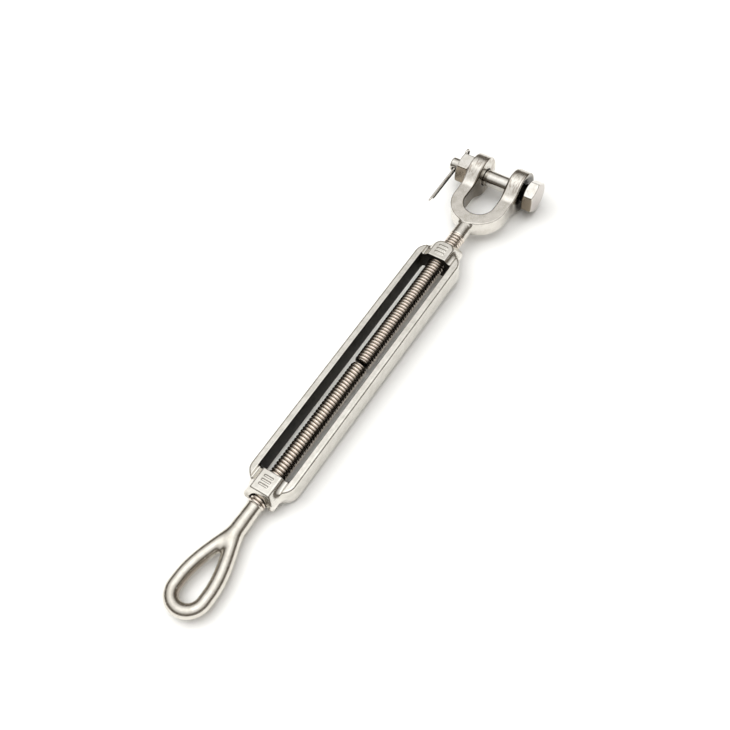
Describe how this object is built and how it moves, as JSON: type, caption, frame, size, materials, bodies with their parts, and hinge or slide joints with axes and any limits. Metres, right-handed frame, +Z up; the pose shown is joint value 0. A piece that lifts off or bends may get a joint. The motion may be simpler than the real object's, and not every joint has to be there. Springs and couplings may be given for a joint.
{
  "type": "rigging turnbuckle",
  "caption": "Open-body stainless turnbuckle that tensions a wire or chain: a screw jaw with clevis bolt at one end, a long eye at the other.",
  "frame": {"origin": "centre of the closed turnbuckle's bounding box. The screw axis runs along X at y = -1.90 mm, and the middle of the body is at x = -1.35 mm", "axes": "+X along the screw axis to the jaw, +Y across the body to the nut and split pin's side, +Z up, square to the plane of the body's opening and of the eye"},
  "size_m": [0.2124, 0.038, 0.0158],
  "materials": {
    "cast_body": "polished stainless casting, soft scratches",
    "forged_jaw": "satin stainless forging, polished edges",
    "forged_eye": "polished stainless forging",
    "bolt": "turned stainless, slightly straw coloured",
    "nut": "machined stainless",
    "wire": "drawn stainless wire"
  },
  "bodies": {
    "turnbuckle_body": {"turnbuckle_body": "cast_body"},
    "jaw_end": {"jaw_end": "forged_jaw"},
    "eye_end": {"eye_end": "forged_eye"},
    "clevis_bolt": {"clevis_bolt": "bolt"},
    "hex_nut": {"hex_nut": "nut"},
    "split_pin": {"split_pin": "wire"}
  },
  "joints": [
    {"name": "jaw_travel", "type": "slide", "parent": "turnbuckle_body", "child": "jaw_end", "axis": [1, 0, 0], "range_m": [0, 0.0498]},
    {"name": "eye_travel", "type": "slide", "parent": "turnbuckle_body", "child": "eye_end", "axis": [-1, 0, 0], "range_m": [0, 0.0498]},
    {"name": "bolt_turn", "type": "hinge", "parent": "jaw_end", "child": "clevis_bolt", "pos_m": [0.09665, -0.0019, 0], "axis": [0, 1, 0], "continuous": true},
    {"name": "nut_turn", "type": "hinge", "parent": "clevis_bolt", "child": "hex_nut", "pos_m": [0.09665, 0.00985, 0], "axis": [0, 1, 0], "range_deg": [0, 330]},
    {"name": "split_pin_pull", "type": "slide", "parent": "clevis_bolt", "child": "split_pin", "axis": [1, 0, 0], "range_m": [0, 0.025]}
  ],
  "couplings": [
    {"joint": "eye_travel", "follows": "jaw_travel", "ratio": 1}
  ]
}
